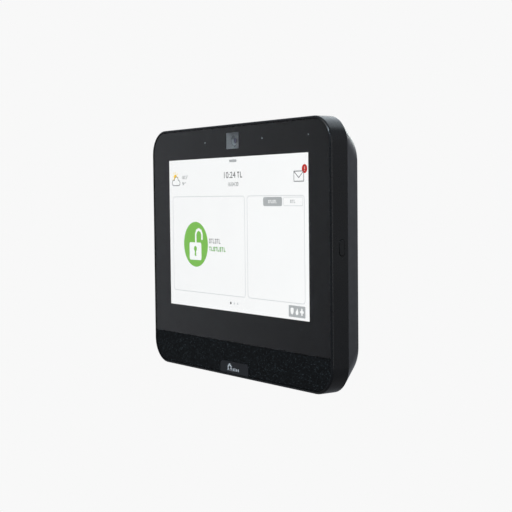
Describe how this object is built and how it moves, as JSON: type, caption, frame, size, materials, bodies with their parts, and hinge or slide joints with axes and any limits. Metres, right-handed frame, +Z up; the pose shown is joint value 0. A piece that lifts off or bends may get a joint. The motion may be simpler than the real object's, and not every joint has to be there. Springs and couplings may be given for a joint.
{
  "type": "alarm keypad panel",
  "caption": "Wall-hung touch-screen alarm keypad panel with a dark glass front, a camera window, a cloth speaker band, a side power button and a tapered rear housing on a hook-on wall plate.",
  "frame": {"origin": "on the wall plane, at the centre of the four wall screw holes in the wall plate", "axes": "+Z up the wall, +Y into the wall (the screen faces -Y), +X to the right seen from the front"},
  "size_m": [0.1929, 0.025, 0.1542],
  "materials": {
    "plate_plastic": "matt charcoal",
    "frame_plastic": "fine satin texture, charcoal",
    "cover_plastic": "fine satin texture, charcoal",
    "cover_glass": "clear, with a dark print behind",
    "tape": "black foam tape",
    "display": "lit white picture",
    "steel": "plain pressed sheet",
    "screw_steel": "zinc plated",
    "board_green": "green solder mask",
    "tin_plate": "bright tinned shield",
    "black_parts": "moulded black",
    "lens_glass": "coated lens",
    "shroud_grey": "grey moulding",
    "gold": "plated can",
    "boot_rubber": "soft black",
    "clear_plastic": "clear light guide",
    "flex": "amber film with copper tracks",
    "grille_steel": "black painted sheet",
    "cloth": "coarse woven, black with grey flecks",
    "badge_plastic": "satin charcoal",
    "magnet": "nickel plated magnet",
    "cone": "pressed paper",
    "battery": "blue shrink sleeve",
    "red_wire": "insulated wire",
    "terminal_green": "green moulding",
    "plunger_nylon": "natural nylon",
    "spring_steel": "spring wire",
    "button_plastic": "satin charcoal"
  },
  "bodies": {
    "wall_plate": {"wall_plate": "plate_plastic"},
    "panel": {"front_frame": "frame_plastic", "rear_cover": "cover_plastic", "touch_glass": "cover_glass", "glass_tape": "tape", "lcd_panel": "display", "backlight_tray": "steel", "chassis_plate": "steel", "chassis_screws": "screw_steel", "main_board": "board_green", "board_screws": "screw_steel", "processor_shield": "tin_plate", "radio_shield": "tin_plate", "board_parts": "black_parts", "sensor_board": "board_green", "sensor_screws": "screw_steel", "camera_holder": "black_parts", "camera_barrel": "black_parts", "camera_lens": "lens_glass", "camera_shroud": "shroud_grey", "microphones": "gold", "mic_boots": "boot_rubber", "light_guide": "clear_plastic", "display_ribbon": "flex", "camera_ribbon": "flex", "antennas": "flex", "grille_plate": "grille_steel", "grille_cloth": "cloth", "badge_tab": "badge_plastic", "left_basket": "black_parts", "left_yoke": "steel", "left_magnet": "magnet", "left_surround": "boot_rubber", "right_basket": "black_parts", "right_yoke": "steel", "right_magnet": "magnet", "right_surround": "boot_rubber", "speaker_screws": "screw_steel", "battery_pack": "battery", "battery_strap": "steel", "strap_screws": "screw_steel", "battery_lead": "red_wire", "terminal_block": "terminal_green", "terminal_screws": "screw_steel", "tamper_switch": "black_parts", "tamper_spring": "spring_steel", "button_switch": "tin_plate", "housing_screws": "screw_steel"},
    "power_button": {"power_button": "button_plastic"},
    "tamper_plunger": {"tamper_plunger": "plunger_nylon"},
    "left_diaphragm": {"left_diaphragm": "cone"},
    "right_diaphragm": {"right_diaphragm": "cone"}
  },
  "joints": [
    {"name": "panel_lift", "type": "slide", "parent": "wall_plate", "child": "panel", "axis": [0, 0, 1], "range_m": [0, 0.008]},
    {"name": "power_press", "type": "slide", "parent": "panel", "child": "power_button", "axis": [-1, 0, 0], "range_m": [0, 0.0005], "stiffness_N_per_m": 900, "springref_m": -0.001},
    {"name": "tamper_release", "type": "slide", "parent": "panel", "child": "tamper_plunger", "axis": [0, 1, 0], "range_m": [0, 0.0016], "stiffness_N_per_m": 60, "springref_m": 0.004, "deforming": ["tamper_spring"]},
    {"name": "left_stroke", "type": "slide", "parent": "panel", "child": "left_diaphragm", "axis": [0, -1, 0], "range_m": [-0.0004, 0.0004], "stiffness_N_per_m": 1500, "deforming": ["left_surround"]},
    {"name": "right_stroke", "type": "slide", "parent": "panel", "child": "right_diaphragm", "axis": [0, -1, 0], "range_m": [-0.0004, 0.0004], "stiffness_N_per_m": 1500, "deforming": ["right_surround"]}
  ],
  "couplings": [
    {"joint": "tamper_release", "follows": "panel_lift", "ratio": 0.2}
  ]
}
